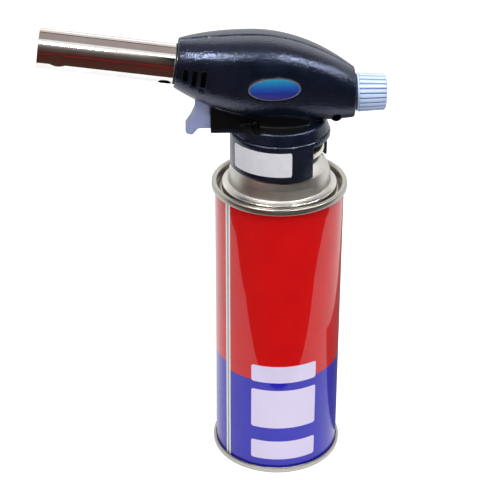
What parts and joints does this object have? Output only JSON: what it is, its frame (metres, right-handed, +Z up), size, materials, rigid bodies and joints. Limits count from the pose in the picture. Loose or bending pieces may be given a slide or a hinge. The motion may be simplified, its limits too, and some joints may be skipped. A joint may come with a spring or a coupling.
{
  "type": "handheld_gas_torch",
  "caption": "Handheld gas torch with a tilted steel flame tube, pull trigger and fluted gas knob, locked by its collar on a slim lacquered gas cartridge.",
  "frame": {"origin": "on the ground, in the middle of the overall box's footprint", "axes": "+Z up along the cartridge, -X to the flame tube's tip, +X to the gas knob, -Y to the pictured side"},
  "size_m": [0.1702, 0.0688, 0.2421],
  "materials": {
    "lacquer": "glossy red and blue lacquer on tin plate",
    "tin": "bright tin plate",
    "polished_steel": "polished stainless steel",
    "spring_steel": "plain spring steel",
    "screw_steel": "blackened steel",
    "brass": "turned brass",
    "copper": "drawn copper pipe",
    "navy_plastic": "fine-grained satin plastic",
    "lavender_plastic": "satin plastic",
    "label": "white paper label",
    "badge": "clear-coated blue plate",
    "rubber": "black rubber",
    "white_plastic": "natural plastic",
    "ceramic": "glazed ceramic",
    "black_plastic": "black plastic"
  },
  "bodies": {
    "canister": {"can_body": "lacquer", "can_dome": "tin", "can_bottom": "tin", "mounting_cup": "tin", "valve_housing": "white_plastic", "stem_gasket": "rubber", "valve_spring": "spring_steel", "dip_tube": "white_plastic"},
    "stem": {"valve_stem": "white_plastic"},
    "head": {"collar": "navy_plastic", "collar_label": "label", "housing_near": "navy_plastic", "housing_far": "navy_plastic", "badge_plate": "badge", "housing_screw_neck": "screw_steel", "housing_screw_rear": "screw_steel", "inlet_adapter": "brass", "inlet_seal": "rubber", "valve_body": "brass", "gas_pipe": "copper", "piezo_case": "black_plastic", "ignition_wire": "black_plastic", "flame_tube": "polished_steel", "flame_holder": "brass", "mixing_tube": "brass", "gas_jet": "brass", "electrode_insulator": "ceramic", "electrode_pin": "spring_steel", "gland_nut": "brass"},
    "trigger_unit": {"trigger": "lavender_plastic", "piezo_plunger": "white_plastic"},
    "spindle_seal": {"spindle_oring": "rubber"},
    "gas_control": {"valve_spindle": "brass", "gas_knob": "lavender_plastic"}
  },
  "joints": [
    {"name": "bayonet_twist", "type": "hinge", "parent": "canister", "child": "head", "pos_m": [0.03336, 0, 0.1804], "axis": [0, 0, 1], "range_deg": [0, 30]},
    {"name": "stem_press", "type": "slide", "parent": "canister", "child": "stem", "axis": [0, 0, 1], "range_m": [-0.001, 0], "stiffness_N_per_m": 3000, "springref_m": 0.0017, "deforming": ["valve_spring"]},
    {"name": "trigger_slide", "type": "slide", "parent": "head", "child": "trigger_unit", "axis": [1, 0, 0], "range_m": [0, 0.005], "stiffness_N_per_m": 2500, "springref_m": -0.002},
    {"name": "spindle_advance", "type": "slide", "parent": "head", "child": "spindle_seal", "axis": [1, 0, 0], "range_m": [0, 0.0015]},
    {"name": "gas_knob_turn", "type": "hinge", "parent": "spindle_seal", "child": "gas_control", "pos_m": [0.07856, 0, 0.2069], "axis": [1, 0, 0], "range_deg": [0, 542]}
  ],
  "couplings": [
    {"joint": "gas_knob_turn", "follows": "spindle_advance", "rad_per_m": 6283.2}
  ]
}
